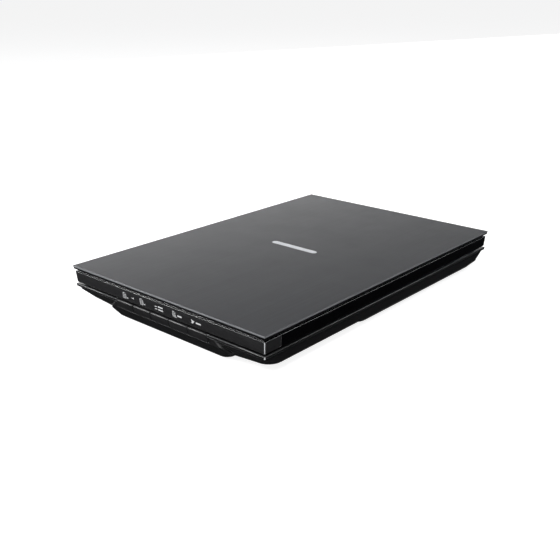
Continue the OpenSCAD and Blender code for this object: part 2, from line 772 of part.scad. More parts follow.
module carriage_frame() {
  side = 1.4;
  color("#333335") difference() {
    union() {
      // channel for the sensor, and a wider floor behind it for the drive
      box(-channel_x, channel_x, home_y - channel_y, home_y + channel_y, channel_z, channel_top_z);
      box(motor_x - 9, boss_x, home_y + channel_y - eps, block_y1, channel_z, channel_z + 1.4);
      box(motor_x - 9, motor_x - 7.8, home_y + channel_y - eps, block_y1, channel_z, channel_top_z);
      box(-boss_x, boss_x, home_y - channel_y, block_y1, floor_z + 0.3, channel_z + 1.3);
      // cups of the lift springs
      for (x = [-spring_x, spring_x]) post(x, home_y, spring_z - 1, channel_z + 1, 4.4);
    }
    box(-channel_x + side, channel_x - side, home_y - channel_y + side, home_y + channel_y - side,
        channel_z + 1, channel_top_z + 1);
    for (x = [-spring_x, spring_x]) post(x, home_y, spring_z, channel_z + 2, 3.4);
    bar_y(0, home_y - channel_y - 1, block_y1 + 1, rod_z, bush_r);
    post(gear_x, gear_y, channel_z - 1, channel_z + 4, 1.2);
    post(motor_x, motor_y, channel_z - 1, channel_z + 4, 1.4);
  }
}

spring_x = 58;
spring_z = 7;
sensor_half_x = 109;
sensor_half_y = 7;
sensor_z = 12.9;
sensor_top_z = 19.6;

module sensor_housing() {
  color("#151516") difference() {
    box(-sensor_half_x, sensor_half_x, home_y - sensor_half_y, home_y + sensor_half_y,
        sensor_z + 1.4, sensor_top_z);
    // slot over the lens, and the sloping trough of the light
    box(-lens_half_x, lens_half_x, home_y - 1, home_y + 1, sensor_z, sensor_top_z + 1);
    box(-lens_half_x, lens_half_x, home_y + 1.6, home_y + 5, sensor_top_z - 3.2, sensor_top_z + 1);
  }
}

lens_half_x = 106;

module lens_array() {
  color("#6f7f8a") box(-lens_half_x, lens_half_x, home_y - 1, home_y + 1, sensor_top_z - 4.4,
                       sensor_top_z - 0.8);
}

module light_guide() {
  color("#e9efe6", 0.6) box(-lens_half_x, lens_half_x, home_y + 1.8, home_y + 4.8,
                            sensor_top_z - 3.2, sensor_top_z - 0.8);
}

module sensor_board() {
  color(colour_board) box(-sensor_half_x, sensor_half_x, home_y - sensor_half_y + 0.3,
                          home_y + sensor_half_y - 0.3,
    sensor_z, sensor_z + 1.4);
}

// Slippery pads that space the sensor from the glass
module glass_glides() {
  color(colour_white) for (side = [-1, 1]) for (y = [home_y - 5.6, home_y + 5.6])
    box(side * 107.5 - 1.2, side * 107.5 + 1.2, y - 1, y + 1, sensor_top_z, glass_z - 0.05);
}

// Compression springs under the sensor
module lift_springs() {
  color(colour_steel) for (x = [-spring_x, spring_x]) translate([x, home_y, spring_z]) coil(2.6,
      0.35, sensor_z - spring_z, 4);
}

module coil(r, wire, height, turns, sides = 6, per_turn = 12) {
  n = turns * per_turn;
  rise = height - 2 * wire;
  centre = [for (i = [0:n]) let (a = 360 * i / per_turn) [r * cos(a), r * sin(a), wire + rise * i / n]];
  points = [for (i = [0:n]) for (j = [0:sides - 1]) let (a = 360 * i / per_turn, b = 360 * j / sides)
    centre[i] + wire * [cos(b) * cos(a), cos(b) * sin(a), sin(b)]];
  skin = [for (i = [0:n - 1]) for (j = [0:sides - 1]) let (k = (j + 1) % sides)
    [i * sides + j, i * sides + k, (i + 1) * sides + k, (i + 1) * sides + j]];
  start = [[for (j = [sides - 1:-1:0]) j]];
  end = [[for (j = [0:sides - 1]) n * sides + j]];
  polyhedron(points = points, faces = concat(start, skin, end), convexity = 10);
}

module guide_bush() {
  color("#c8a45a") difference() {
    bar_y(0, home_y - channel_y, block_y1, rod_z, bush_r);
    bar_y(0, home_y - channel_y - 1, block_y1 + 1, rod_z, rod_r + run_gap);
  }
}

module motor_can() {
  z0 = channel_z + 1.4;
  color(colour_steel) difference() {
    union() {
      post(motor_x, motor_y, z0, 19, motor_r);
      post(motor_x, motor_y, z0, 19.4, 2.2);
    }
    post(motor_x, motor_y, z0 - 1, z0 + 4, 0.8);
  }
}

module gear_pin() {
  color(colour_steel) {
    post(gear_x, gear_y, 5.4, channel_z + 1, 1.2);
    post(gear_x, gear_y, 5.25, 5.65, 2.1);
  }
}

// Large wheel and rack pinion moulded as one
module drive_gear() {
  bore = 1.2 + run_gap;
  color("#e9e7df") translate([gear_x, gear_y, 0]) difference() {
    union() {
      gear(rack_module, rack_pinion_teeth, 0.9 * rack_module, 1.15 * rack_module, pinion_z0,
           wheel_z0 + eps, 180);
      gear(motor_module, wheel_teeth, 0.85 * motor_module, 1.15 * motor_module, wheel_z0, wheel_z1,
           motor_angle);
    }
    post(0, 0, 0, 20, bore);
  }
}

module motor_pinion() {
  color("#c9b26a") translate([motor_x, motor_y, 0]) {
    gear(motor_module, motor_teeth, 0.85 * motor_module, 1.15 * motor_module, wheel_z0, wheel_z1,
      motor_angle + 180 + 180 / motor_teeth);
    post(0, 0, wheel_z1 - eps, channel_z + 4.4, 0.75);
  }
}

lid_top_panel();
lid_carrier_plate();
lid_badge();
lid_shell();
label_strip();
document_foam();
document_sheet();
lid_bumpers();
hinge_bracket_left();
hinge_bracket_right();
hinge_pin_left();
hinge_pin_right();
bracket_screws();
hinge_post_left();
hinge_post_right();
upper_frame();
platen_glass();
calibration_strip();
lower_case();
rubber_feet();
case_screws();
rating_plate();
guide_rod();
drive_rack();
main_board();
board_chips();
usb_socket();
board_screws();
flex_cable();
button_cable();
button_board();
switch_housings();
button_cap(1);  // button_cap_1
button_cap(2);  // button_cap_2
button_cap(3);  // button_cap_3
button_cap(4);  // button_cap_4
button_cap(5);  // button_cap_5
switch_plunger(1);  // switch_plunger_1
switch_plunger(2);  // switch_plunger_2
switch_plunger(3);  // switch_plunger_3
switch_plunger(4);  // switch_plunger_4
switch_plunger(5);  // switch_plunger_5
carriage_frame();
sensor_housing();
lens_array();
light_guide();
sensor_board();
glass_glides();
lift_springs();
guide_bush();
motor_can();
gear_pin();
drive_gear();
motor_pinion();
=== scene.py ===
# Slim flatbed scanner: finishes, printed marks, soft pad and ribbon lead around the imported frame
import bpy
import json
import math
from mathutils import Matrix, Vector


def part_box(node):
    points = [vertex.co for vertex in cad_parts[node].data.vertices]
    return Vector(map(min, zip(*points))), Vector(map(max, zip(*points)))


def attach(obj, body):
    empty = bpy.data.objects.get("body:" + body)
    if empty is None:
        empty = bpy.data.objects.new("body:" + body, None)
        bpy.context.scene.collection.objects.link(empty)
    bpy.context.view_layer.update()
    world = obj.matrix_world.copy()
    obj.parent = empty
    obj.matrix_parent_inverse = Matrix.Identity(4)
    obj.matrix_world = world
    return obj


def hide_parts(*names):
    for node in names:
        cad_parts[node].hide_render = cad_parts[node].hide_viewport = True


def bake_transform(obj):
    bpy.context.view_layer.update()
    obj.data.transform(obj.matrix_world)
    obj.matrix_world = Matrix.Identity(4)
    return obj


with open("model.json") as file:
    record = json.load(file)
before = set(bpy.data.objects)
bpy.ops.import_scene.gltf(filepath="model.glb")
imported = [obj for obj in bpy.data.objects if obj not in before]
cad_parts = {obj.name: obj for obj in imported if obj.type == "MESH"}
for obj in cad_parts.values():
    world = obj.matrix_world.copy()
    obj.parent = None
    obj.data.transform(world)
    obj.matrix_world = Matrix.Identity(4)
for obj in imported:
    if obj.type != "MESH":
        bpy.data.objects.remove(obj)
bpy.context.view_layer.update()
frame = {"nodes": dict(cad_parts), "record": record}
nodes = frame["nodes"]
scene = bpy.context.scene
print("frame loaded:", len(nodes), "parts")

# Camera and studio

cameraSetup = {
    "place": (0.48545, -0.57954, 0.29031),  # m
    "turn": 41.055,  # degrees round the object, 0 looks along +Y
    "height": 20.648,  # degrees above the horizon
    "lens": 49.4,  # mm on a 36 mm sensor
}


def addCamera(setup):
    data = bpy.data.cameras.new("studioCamera")
    data.lens, data.sensor_width = setup["lens"], 36
    data.clip_start, data.clip_end = 0.01, 100
    camera = bpy.data.objects.new("studioCamera", data)
    scene.collection.objects.link(camera)
    a, e = math.radians(setup["turn"]), math.radians(setup["height"])
    back = Vector((math.sin(a) * math.cos(e), -math.cos(a) * math.cos(e), math.sin(e)))
    camera.location = setup["place"]
    camera.rotation_mode = "QUATERNION"
    camera.rotation_quaternion = (-back).to_track_quat("-Z", "Y")
    scene.camera = camera


def toLinear(hexColour):
    parts = [int(hexColour[i:i + 2], 16) / 255 for i in (1, 3, 5)]
    return tuple(c / 12.92 if c <= 0.04045 else ((c + 0.055) / 1.055) ** 2.4 for c in parts) + (1.0,)


def addNode(tree, kind, settings=None, links=None):
    # one node with its settings and links; a colour given in hex is turned to linear
    node = tree.nodes.new(kind)
    for name, value in (settings or {}).items():
        if isinstance(value, str) and value.startswith("#"):
            value = toLinear(value)
        if isinstance(name, int) or name in node.inputs:
            node.inputs[name].default_value = value
        else:
            setattr(node, name, value)
    for name, source in (links or {}).items():
        tree.links.new(source, node.inputs[name])
    return node


studio = {
    "sky": "#b4b6ba",  # soft fill from all round
    "skyStrength": 0.12,
    "skyBelow": 0.03,  # strength under table height
    "horizon": (-0.05, 0.1),  # where the sky turns from dark to light, as the sine of the height
    "floorColour": "#a9a9aa",
    "fibreColour": "#a6a6a7",
    "fibresPerMetre": 2.0,
    "floorGlow": 0.88,  # a backlit table: stays pale far away and keeps only soft shadows
    "backdrop": "#f1f1f1",  # what the camera sees past the floor
    "floorSize": 60.0,  # m, so that the floor fills the view
    "lights": {  # place, aim point, width, height, watts
        "leftLongBox": ((-2.2, 2.6, 0.3), (0.0, 2.2, 0.05), 6.5, 0.55, 50),
        "overheadBox": ((0.2, -0.1, 2.6), (0.0, 0.0, 0.0), 3.6, 3.6, 40),
        "backRightBox": ((0.9, 1.7, 1.35), (0.1, 0.0, 0.03), 0.7, 0.35, 12),
        "frontLeftBox": ((-1.3, -1.2, 0.9), (0.0, -0.15, 0.03), 0.9, 0.7, 40),
        "cameraSideBox": ((0.7, -1.5, 2.0), (0.0, 0.0, 0.03), 1.6, 1.2, 44),
    },
}


def addStudio(setup):
    world = bpy.data.worlds.new("softStudio")
    scene.world = world
    world.use_nodes = True
    room = world.node_tree
    sky = room.nodes["Background"]
    sky.inputs["Color"].default_value = toLinear(setup["sky"])
    # the room is darker below table height, which keeps the polished walls black
    way = addNode(room, "ShaderNodeTexCoord").outputs["Generated"]
    height = addNode(room, "ShaderNodeSeparateXYZ", links={"Vector": way}).outputs["Z"]
    darkEnd, lightEnd = setup["horizon"]
    strength = addNode(room, "ShaderNodeMapRange", {
        "From Min": darkEnd, "From Max": lightEnd,
        "To Min": setup["skyBelow"], "To Max": setup["skyStrength"],
    }, {"Value": height})
    room.links.new(strength.outputs["Result"], sky.inputs["Strength"])
    backdrop = addNode(room, "ShaderNodeBackground", {"Color": setup["backdrop"], "Strength": 1.0})
    eye = addNode(room, "ShaderNodeLightPath")
    both = addNode(room, "ShaderNodeMixShader", links={
        0: eye.outputs["Is Camera Ray"], 1: sky.outputs["Background"], 2: backdrop.outputs["Background"],
    })
    room.links.new(both.outputs["Shader"], room.nodes["World Output"].inputs["Surface"])
    for name, (place, aim, width, height, watts) in setup["lights"].items():
        data = bpy.data.lights.new(name, "AREA")
        data.shape, data.size, data.size_y, data.energy = "RECTANGLE", width, height, watts
        light = bpy.data.objects.new(name, data)
        scene.collection.objects.link(light)
        light.location = place
        light.rotation_mode = "QUATERNION"
        light.rotation_quaternion = (Vector(aim) - Vector(place)).to_track_quat("-Z", "Y")


def addFloor(setup):
    bpy.ops.object.select_all(action="DESELECT")
    bpy.ops.mesh.primitive_plane_add(size=setup["floorSize"], location=(0, 0, 0))
    floor = bpy.context.object
    floor.name = "studio_floor"
    floor.data.name = "studio_floor"
    paper = bpy.data.materials.new("matte_backdrop_paper")  # pale, even, without any shine
    paper.use_nodes = True
    tree = paper.node_tree
    place = addNode(tree, "ShaderNodeTexCoord").outputs["Object"]
    fibre = addNode(tree, "ShaderNodeTexNoise", {"Scale": setup["fibresPerMetre"], "Detail": 2.0},
                    {"Vector": place})
    tone = addNode(tree, "ShaderNodeMix", {
        "data_type": "RGBA", "A": setup["floorColour"], "B": setup["fibreColour"],
    }, {"Factor": fibre.outputs["Fac"]})
    shader = tree.nodes["Principled BSDF"]
    shader.inputs["Roughness"].default_value = 0.95
    shader.inputs["Specular IOR Level"].default_value = 0.0
    shader.inputs["Emission Color"].default_value = (1, 1, 1, 1)
    shader.inputs["Emission Strength"].default_value = setup["floorGlow"]
    tree.links.new(tone.outputs["Result"], shader.inputs["Base Color"])
    # from below the floor is clear, so the underside can be looked at
    clear = addNode(tree, "ShaderNodeBsdfTransparent")
    side = addNode(tree, "ShaderNodeNewGeometry")
    fromBelow = addNode(tree, "ShaderNodeMixShader", links={
        0: side.outputs["Backfacing"], 1: shader.outputs["BSDF"], 2: clear.outputs["BSDF"],
    })
    tree.links.new(fromBelow.outputs["Shader"], tree.nodes["Material Output"].inputs["Surface"])
    floor.data.materials.append(paper)
    floor.visible_glossy = False  # the polished walls mirror the dark room and not the floor


addCamera(cameraSetup)
addStudio(studio)
addFloor(studio)
scene.view_settings.view_transform = "Standard"
print("studio ready")

# Finishes

metre = 1000.0  # mm, turns a size in mm into a texture scale


def startMaterial(look):
    material = bpy.data.materials.new(look["name"])
    material.use_nodes = True
    tree = material.node_tree
    shader = tree.nodes["Principled BSDF"]
    for socket, value in look.get("shader", {}).items():
        shader.inputs[socket].default_value = value
    place = addNode(tree, "ShaderNodeTexCoord").outputs["Object"]
    return material, tree, shader, place


# a noise pattern's values lie mostly between these two
noiseLow, noiseHigh = 0.3, 0.7


def tintWhere(tree, colour, layer, pattern, start, full, show=1.0):
    # lays a second colour over the first as the pattern goes from the start value to the full one
    amount = addNode(tree, "ShaderNodeMapRange", {"From Min": start, "From Max": full, "To Max": show},
                     {"Value": pattern})
    mix = addNode(tree, "ShaderNodeMix", {"data_type": "RGBA", "B": layer},
                  {"Factor": amount.outputs["Result"]})
    if isinstance(colour, str):
        mix.inputs["A"].default_value = toLinear(colour)
    else:
        tree.links.new(colour, mix.inputs["A"])
    return mix.outputs["Result"]


def wanderGloss(tree, shader, pattern, roughness):
    low, high = roughness
    gloss = addNode(tree, "ShaderNodeMapRange", {
        "From Min": noiseLow, "From Max": noiseHigh, "To Min": low, "To Max": high,
    }, {"Value": pattern})
    tree.links.new(gloss.outputs["Result"], shader.inputs["Roughness"])


# cosine between the rounded and the flat normal: on a sharp edge, and on an open face
sharpEdge, openFace = 0.72, 0.985


def paintEdgeHighlights(tree, look, colour):
    # the colour with painted highlights along its edges, and the rounded normal that goes with it
    rounded = addNode(tree, "ShaderNodeBevel", {"samples": 6, "Radius": look["edgeMm"] / metre})
    flat = addNode(tree, "ShaderNodeNewGeometry")
    along = addNode(tree, "ShaderNodeVectorMath", {"operation": "DOT_PRODUCT"},
                    {0: rounded.outputs["Normal"], 1: flat.outputs["Normal"]})
    facing = addNode(tree, "ShaderNodeSeparateXYZ", links={"Vector": flat.outputs["True Normal"]})
    turned = addNode(tree, "ShaderNodeSeparateXYZ", links={"Vector": rounded.outputs["Normal"]})
    sideways = addNode(tree, "ShaderNodeMath", {"operation": "ABSOLUTE"}, {0: turned.outputs["X"]})
    highlight = addNode(tree, "ShaderNodeMapRange", {
        "From Min": openFace, "From Max": sharpEdge, "To Max": look["highlightShow"],
    }, {"Value": along.outputs["Value"]}).outputs["Result"]
    # places where the painted edge highlight is left off, each with the value where it is gone and the
    # value where it is full
    noHighlightPlaces = []
    if look.get("noHighlightLedges"):  # ledges in the shadow gap get no painted highlight
        noHighlightPlaces.append((facing.outputs["Z"], 0.95, 0.75))
    if look.get("noHighlightSides"):  # side edges between two keys get no painted highlight
        noHighlightPlaces.append((sideways.outputs["Value"], 0.25, 0.1))
    for direction, noHighlight, wearAndHighlight in noHighlightPlaces:
        highlightKept = addNode(tree, "ShaderNodeMapRange", {"From Min": noHighlight, "From Max": wearAndHighlight},
                          {"Value": direction})
        highlight = addNode(tree, "ShaderNodeMath", {"operation": "MULTIPLY"},
                         {0: highlight, 1: highlightKept.outputs["Result"]}).outputs["Value"]
    colour = tintWhere(tree, colour, look["highlightColour"], highlight, 0, 1)
    if "cornerHighlightShow" in look:  # an upright rounded corner gets a painted highlight as bright as the edges
        both = addNode(tree, "ShaderNodeMath", {"operation": "MULTIPLY"},
                       {0: facing.outputs["X"], 1: facing.outputs["Y"]})
        corner = addNode(tree, "ShaderNodeMath", {"operation": "ABSOLUTE"}, {0: both.outputs["Value"]})
        colour = tintWhere(tree, colour, look["highlightColour"], corner.outputs["Value"], 0.2, 0.42,
                           look["cornerHighlightShow"])
    if "uprightHighlightColour" in look:  # a painted highlight on the upright faces of the sheet's edge
        level = addNode(tree, "ShaderNodeMath", {"operation": "ABSOLUTE"}, {0: facing.outputs["Z"]})
        colour = tintWhere(tree, colour, look["uprightHighlightColour"], level.outputs["Value"], 0.6, 0.2)
    return colour, rounded.outputs["Normal"]


def makeFinish(look):
    # two tones in slow clouds, a fine relief, painted highlights along the edges and a gloss that
    # wanders a little
    material, tree, shader, place = startMaterial(look)
    clouds = addNode(tree, "ShaderNodeTexNoise", {"Scale": metre / look["cloudMm"], "Detail": 3.0},
                     {"Vector": place}).outputs["Fac"]
    stretched = addNode(tree, "ShaderNodeMapping", {"Scale": look.get("grainStretch", (1, 1, 1))},
                        {"Vector": place})
    grain = addNode(tree, "ShaderNodeTexNoise", {"Scale": metre / look["grainMm"], "Detail": 2.0},
                    {"Vector": stretched.outputs["Vector"]}).outputs["Fac"]
    colour = tintWhere(tree, look["colour"], look["secondColour"], clouds, noiseLow, noiseHigh)
    if "grainColour" in look:
        colour = tintWhere(tree, colour, look["grainColour"], grain, noiseLow, noiseHigh,
                           look["grainShow"])
    relief = addNode(tree, "ShaderNodeBump", {
        "Strength": look.get("reliefStrength", 0.5), "Distance": look["reliefMm"] / metre,
    }, {"Height": grain})
    if "edgeMm" in look:
        colour, rounded = paintEdgeHighlights(tree, look, colour)
        tree.links.new(rounded, relief.inputs["Normal"])
    tree.links.new(colour, shader.inputs["Base Color"])
    tree.links.new(relief.outputs["Normal"], shader.inputs["Normal"])
    wanderGloss(tree, shader, clouds, look["roughness"])
    return material


finishes = {
    # satin lacquered sheet with a hairline brush along its length
    # the hairlines are drawn 1 mm wide so that they show
    "top_panel": {
        "name": "brushed_lacquered_sheet",
        "colour": "#242527", "secondColour": "#262729", "cloudMm": 40,
        "grainMm": 1.0, "grainStretch": (1, 0.004, 1), "grainColour": "#333437", "grainShow": 0.8,
        "reliefMm": 0.02, "reliefStrength": 0.35, "roughness": (0.33, 0.38),
        # painted highlights along the edges and on the upright edge faces
        "edgeMm": 0.4, "highlightColour": "#85878a", "highlightShow": 0.5, "uprightHighlightColour": "#626467",
        "shader": {"IOR": 1.5, "Specular IOR Level": 0.5},
    },
    # moulded plate under the sheet: painted shade, a plain deep black that reads as a shadow line
    "carrier_plate": {
        "name": "painted_shade_plate",
        "colour": "#060607", "secondColour": "#08080a", "cloudMm": 15,
        "grainMm": 0.7,
        "reliefMm": 0.02, "reliefStrength": 0.3, "roughness": (0.4, 0.5),
        "shader": {"IOR": 1.53, "Specular IOR Level": 0.4},
    },
    # anodised aluminium, brushed across: bright satin with a soft streak
    "name_plate": {
        "name": "satin_anodised_aluminium",
        "colour": "#bfc1c4", "secondColour": "#b4b6b9", "cloudMm": 12,
        "grainMm": 0.5, "grainStretch": (0.05, 1, 1),
        "reliefMm": 0.01, "roughness": (0.3, 0.4),
        # painted highlights along the rim's edges
        "edgeMm": 0.25, "highlightColour": "#f6f7f8", "highlightShow": 0.9,
        "shader": {"Metallic": 0.15},
    },
    # polished ABS: deep black with thin painted highlights along its edges
    "gloss_black": {
        "name": "polished_black_abs",
        "colour": "#020203", "secondColour": "#030304", "cloudMm": 18,
        "grainMm": 3.0,
        "reliefMm": 0.01, "reliefStrength": 0.15, "roughness": (0.1, 0.16),
        "edgeMm": 0.6, "highlightColour": "#e6e8ea", "highlightShow": 1.0, "noHighlightLedges": True,
        "shader": {"IOR": 1.53, "Specular IOR Level": 0.35},
    },
    # fine spark-eroded ABS: a soft charcoal that hides fingerprints; its grain drawn 0.6 mm wide
    "label_black": {
        "name": "satin_charcoal_abs",
        "colour": "#1a1a1b", "secondColour": "#1e1e1f", "cloudMm": 15,
        "grainMm": 0.6,
        "reliefMm": 0.02, "reliefStrength": 0.3, "roughness": (0.3, 0.36),
        # painted highlights along the edges and down the upright rounded corner
        "edgeMm": 0.5, "highlightColour": "#c4c6c9", "highlightShow": 0.9, "cornerHighlightShow": 0.95, "noHighlightLedges": True,
        "shader": {"IOR": 1.53},
    },
    # fine grained ABS moulding: soft black that scatters the light; its grain drawn 0.7 mm wide
    "case_black": {
        "name": "fine_grained_black_abs",
        "colour": "#0c0c0d", "secondColour": "#101011", "cloudMm": 20,
        "grainMm": 0.7, "grainColour": "#161617", "grainShow": 0.5,
        "reliefMm": 0.03, "reliefStrength": 0.4, "roughness": (0.38, 0.48),
        # painted highlights along the edges
        "edgeMm": 0.5, "highlightColour": "#8e9093", "highlightShow": 0.6,
        "shader": {"IOR": 1.53},
    },
    # the same moulding with a polished rim, with painted highlights along its ledge and its upright
    # corners
    "frame_rim": {
        "name": "satin_black_rim_abs",
        "colour": "#0f0f10", "secondColour": "#131314", "cloudMm": 20,
        "grainMm": 0.7,
        "reliefMm": 0.02, "reliefStrength": 0.3, "roughness": (0.28, 0.34),
        "edgeMm": 0.9, "highlightColour": "#e2e4e6", "highlightShow": 1.0, "cornerHighlightShow": 0.7,
        "shader": {"IOR": 1.53},
    },
    # satin ABS keys: dark, with a painted highlight along the top edge
    "button_black": {
        "name": "satin_black_button_abs",
        "colour": "#161617", "secondColour": "#1a1a1b", "cloudMm": 8,
        "grainMm": 0.5,
        "reliefMm": 0.02, "reliefStrength": 0.3, "roughness": (0.33, 0.4),
        "edgeMm": 0.6, "highlightColour": "#a0a2a5", "highlightShow": 0.8, "noHighlightSides": True,
        "shader": {"IOR": 1.53},
    },
    # open-cell polyurethane foam: dull grey with pores, drawn 0.8 mm wide
    "foam_grey": {
        "name": "open_cell_foam",
        "colour": "#7b7c7e", "secondColour": "#858688", "cloudMm": 9,
        "grainMm": 0.8, "grainColour": "#4f5052", "grainShow": 0.8,
        "reliefMm": 0.25, "roughness": (0.9, 1.0),
        "shader": {"Sheen Weight": 0.3, "Sheen Roughness": 0.5},
    },
    # matte white vinyl film with a faint orange peel
    "mat_white": {
        "name": "matte_white_vinyl_film",
        "colour": "#bec0bf", "secondColour": "#bcbebd", "cloudMm": 30,
        "grainMm": 2.5,
        "reliefMm": 0.02, "reliefStrength": 0.3, "roughness": (0.45, 0.55),
        "shader": {"IOR": 1.48},
    },
    # soft moulded rubber, dull and slightly dusty
    "rubber_grey": {
        "name": "dull_grey_rubber",
        "colour": "#2f3031", "secondColour": "#3a3b3c", "cloudMm": 3,
        "grainMm": 0.5, "grainColour": "#484848", "grainShow": 0.4,
        "reliefMm": 0.06, "roughness": (0.75, 0.9),
        "shader": {"IOR": 1.52},
    },
    # zinc plated steel: a bright cool metal with a crystal bloom
    "steel_bright": {
        "name": "zinc_plated_steel",
        "colour": "#b9bcbf", "secondColour": "#a3a7ab", "cloudMm": 2.5,
        "grainMm": 0.6,
        "reliefMm": 0.01, "roughness": (0.22, 0.38),
        # painted highlights along the edges
        "edgeMm": 0.15, "highlightColour": "#d6d8da", "highlightShow": 0.5,
        "shader": {"Metallic": 1.0},
    },
    # ground steel rod with a film of grease: fine rings round it
    "rod_steel": {
        "name": "ground_steel_rod",
        "colour": "#c6c8ca", "secondColour": "#b2b4b6", "cloudMm": 14,
        "grainMm": 0.5, "grainStretch": (0.2, 1, 0.2),
        "reliefMm": 0.005, "roughness": (0.14, 0.26),
        "shader": {"Metallic": 1.0},
    },
    # natural acetal: milky white and waxy
    "gear_white": {
        "name": "natural_acetal",
        "colour": "#e8e6dd", "secondColour": "#deddd3", "cloudMm": 4,
        "grainMm": 0.8,
        "reliefMm": 0.01, "roughness": (0.32, 0.42),
        # painted highlights along the edges
        "edgeMm": 0.15, "highlightColour": "#f5f4ef", "highlightShow": 0.5,
        "shader": {"IOR": 1.48, "Subsurface Weight": 0.1, "Subsurface Radius": (0.001, 0.001, 0.0008)},
    },
    # calendered white strip and glide pads: clean white, a little waxy
    "white_strip": {
        "name": "satin_white_film",
        "colour": "#f3f4f3", "secondColour": "#eceeed", "cloudMm": 8,
        "grainMm": 1.0,
        "reliefMm": 0.005, "roughness": (0.35, 0.45),
        "shader": {"IOR": 1.48},
    },
    # moulded epoxy chip bodies: dull black with a fine sandy grain
    "chip_black": {
        "name": "moulded_epoxy",
        "colour": "#1b1b1c", "secondColour": "#232324", "cloudMm": 1.6,
        "grainMm": 0.3, "grainColour": "#2e2e2f", "grainShow": 0.5,
        "reliefMm": 0.02, "roughness": (0.5, 0.62),
        "shader": {"IOR": 1.55},
    },
    # nickel plated socket shell: warm bright metal with draw lines along it
    "plated_shell": {
        "name": "nickel_plated_shell",
        "colour": "#c9c7c1", "secondColour": "#b8b6b0", "cloudMm": 3,
        "grainMm": 0.4, "grainStretch": (0.1, 1, 1),
        "reliefMm": 0.005, "roughness": (0.2, 0.32),
        # painted highlights along the edges
        "edgeMm": 0.15, "highlightColour": "#dedcd6", "highlightShow": 0.5,
        "shader": {"Metallic": 1.0},
    },
    # glass-filled nylon switch bodies: dull, with pale specks of fibre
    "switch_black": {
        "name": "glass_filled_nylon",
        "colour": "#1a1a1b", "secondColour": "#202021", "cloudMm": 2,
        "grainMm": 0.3, "grainColour": "#343436", "grainShow": 0.5,
        "reliefMm": 0.02, "roughness": (0.5, 0.6),
        "shader": {"IOR": 1.53},
    },
    # turned brass: warm with fine tool rings
    "brass": {
        "name": "turned_brass",
        "colour": "#c8a45a", "secondColour": "#b9954c", "cloudMm": 2.5,
        "grainMm": 0.3, "grainStretch": (0.3, 0.3, 1),
        "reliefMm": 0.005, "roughness": (0.22, 0.34),
        "shader": {"Metallic": 1.0},
    },
    # glass-filled ABS carriage: greyish black, dull, with pale specks
    "carriage_black": {
        "name": "glass_filled_black_abs",
        "colour": "#1c1c1e", "secondColour": "#232325", "cloudMm": 9,
        "grainMm": 0.5, "grainColour": "#2f2f32", "grainShow": 0.5,
        "reliefMm": 0.03, "roughness": (0.5, 0.6),
        # painted highlights along the edges
        "edgeMm": 0.3, "highlightColour": "#4c4c4f", "highlightShow": 0.5,
        "shader": {"IOR": 1.53},
    },
    # matte black sensor body that swallows stray light
    "sensor_black": {
        "name": "matte_black_sensor_body",
        "colour": "#101011", "secondColour": "#151516", "cloudMm": 6,
        "grainMm": 0.4, "grainColour": "#1f1f20", "grainShow": 0.5,
        "reliefMm": 0.02, "roughness": (0.55, 0.65),
        "shader": {"IOR": 1.53},
    },
    # a row of rod lenses in black resin: dark, glossy, one bright rib each 0.6 mm
    "lens_glass": {
        "name": "rod_lens_row",
        "colour": "#15171a", "secondColour": "#1b1e22", "cloudMm": 3,
        "grainMm": 0.6, "grainStretch": (1, 0.02, 0.02), "grainColour": "#5c666f", "grainShow": 0.8,
        "reliefMm": 0.05, "roughness": (0.05, 0.1),
        "shader": {"IOR": 1.6},
    },
    # silver polyester label: soft metallic sheen with fine streaks
    "rating_silver": {
        "name": "silver_polyester_label",
        "colour": "#b4b6b8", "secondColour": "#a9abad", "cloudMm": 12,
        "grainMm": 0.4, "grainStretch": (0.05, 1, 1),
        "reliefMm": 0.004, "roughness": (0.34, 0.44),
        "shader": {"Metallic": 0.7},
    },
    # drawn steel motor can: cool grey metal with streaks round it
    "motor_steel": {
        "name": "drawn_steel_can",
        "colour": "#9da0a3", "secondColour": "#8b8e91", "cloudMm": 4,
        "grainMm": 0.4, "grainStretch": (1, 1, 0.1),
        "reliefMm": 0.006, "roughness": (0.25, 0.36),
        # painted highlights along the edges
        "edgeMm": 0.3, "highlightColour": "#c4c6c8", "highlightShow": 0.5,
        "shader": {"Metallic": 1.0},
    },
}

materials = {slot: makeFinish(look) for slot, look in finishes.items()}

glassLook = {
    "name": "float_glass", "colour": "#f4faf7", "secondColour": "#eef7f3",
    "smearMm": 60, "roughness": (0.0, 0.03),
    "shader": {"IOR": 1.52, "Transmission Weight": 1.0},
}
guideLook = {
    "name": "clear_acrylic_light_guide", "colour": "#f7fafc", "secondColour": "#e9f0f4",
    "smearMm": 5, "roughness": (0.08, 0.16),
    "shader": {"IOR": 1.49, "Transmission Weight": 0.85},
}


def makeGlass(look):
    # clear body with a faint smear that only shows as a change of gloss
    material, tree, shader, place = startMaterial(look)
    wiped = addNode(tree, "ShaderNodeMapping", {"Scale": (1, 0.4, 1)}, {"Vector": place})
    smear = addNode(tree, "ShaderNodeTexNoise", {"Scale": metre / look["smearMm"], "Detail": 4.0},
                    {"Vector": wiped.outputs["Vector"]}).outputs["Fac"]
    colour = tintWhere(tree, look["colour"], look["secondColour"], smear, 0, 1)
    tree.links.new(colour, shader.inputs["Base Color"])
    wanderGloss(tree, shader, smear, look["roughness"])
    return material


materials["clear_glass"] = makeGlass(glassLook)
materials["guide_clear"] = makeGlass(guideLook)

boardLook = {
    "name": "green_solder_mask_board", "colour": "#1d5a35", "trackColour": "#2f7d4c",
    "padColour": "#b9a763", "trackMm": 1.6, "padMm": 2.4, "reliefMm": 0.05,
    "shader": {"IOR": 1.5, "Roughness": 0.35, "Coat Weight": 0.3},
}


